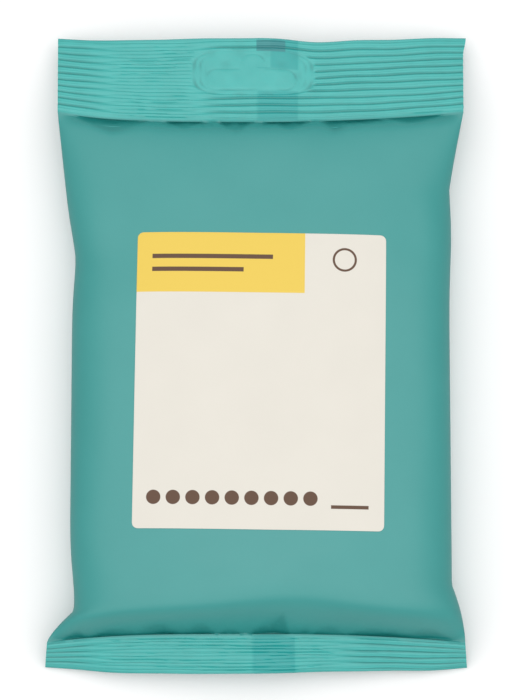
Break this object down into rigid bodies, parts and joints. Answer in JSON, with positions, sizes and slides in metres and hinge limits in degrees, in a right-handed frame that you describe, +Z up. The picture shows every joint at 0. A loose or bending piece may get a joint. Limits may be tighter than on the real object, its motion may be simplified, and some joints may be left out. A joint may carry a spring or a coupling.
{
  "type": "bag of dried apricots",
  "caption": "Sealed pillow bag of dried apricots in teal film, lying on its back: crimped seal at each end, pressed hang-slot pad, fin seal down the back, unprinted label on the front.",
  "frame": {"origin": "on the supporting surface, under the middle of the bounding box", "axes": "+Z up, out of the labelled front; +Y along the bag towards the top seal; +X to the right as the front is read"},
  "size_m": [0.1324, 0.2034, 0.0314],
  "materials": {
    "teal_film": "satin printed film",
    "label_paper": "matt coated",
    "dried_apricot": "wrinkled, slightly moist"
  },
  "bodies": {
    "root": {"film_bag": "teal_film", "front_label": "label_paper", "apricot_01": "dried_apricot", "apricot_02": "dried_apricot", "apricot_03": "dried_apricot", "apricot_04": "dried_apricot", "apricot_05": "dried_apricot", "apricot_06": "dried_apricot", "apricot_07": "dried_apricot", "apricot_08": "dried_apricot", "apricot_09": "dried_apricot", "apricot_10": "dried_apricot", "apricot_11": "dried_apricot", "apricot_12": "dried_apricot", "apricot_13": "dried_apricot", "apricot_14": "dried_apricot", "apricot_15": "dried_apricot", "apricot_16": "dried_apricot", "apricot_17": "dried_apricot", "apricot_18": "dried_apricot", "apricot_19": "dried_apricot", "apricot_20": "dried_apricot", "apricot_21": "dried_apricot", "apricot_22": "dried_apricot", "apricot_23": "dried_apricot", "apricot_24": "dried_apricot"}
  },
  "joints": []
}
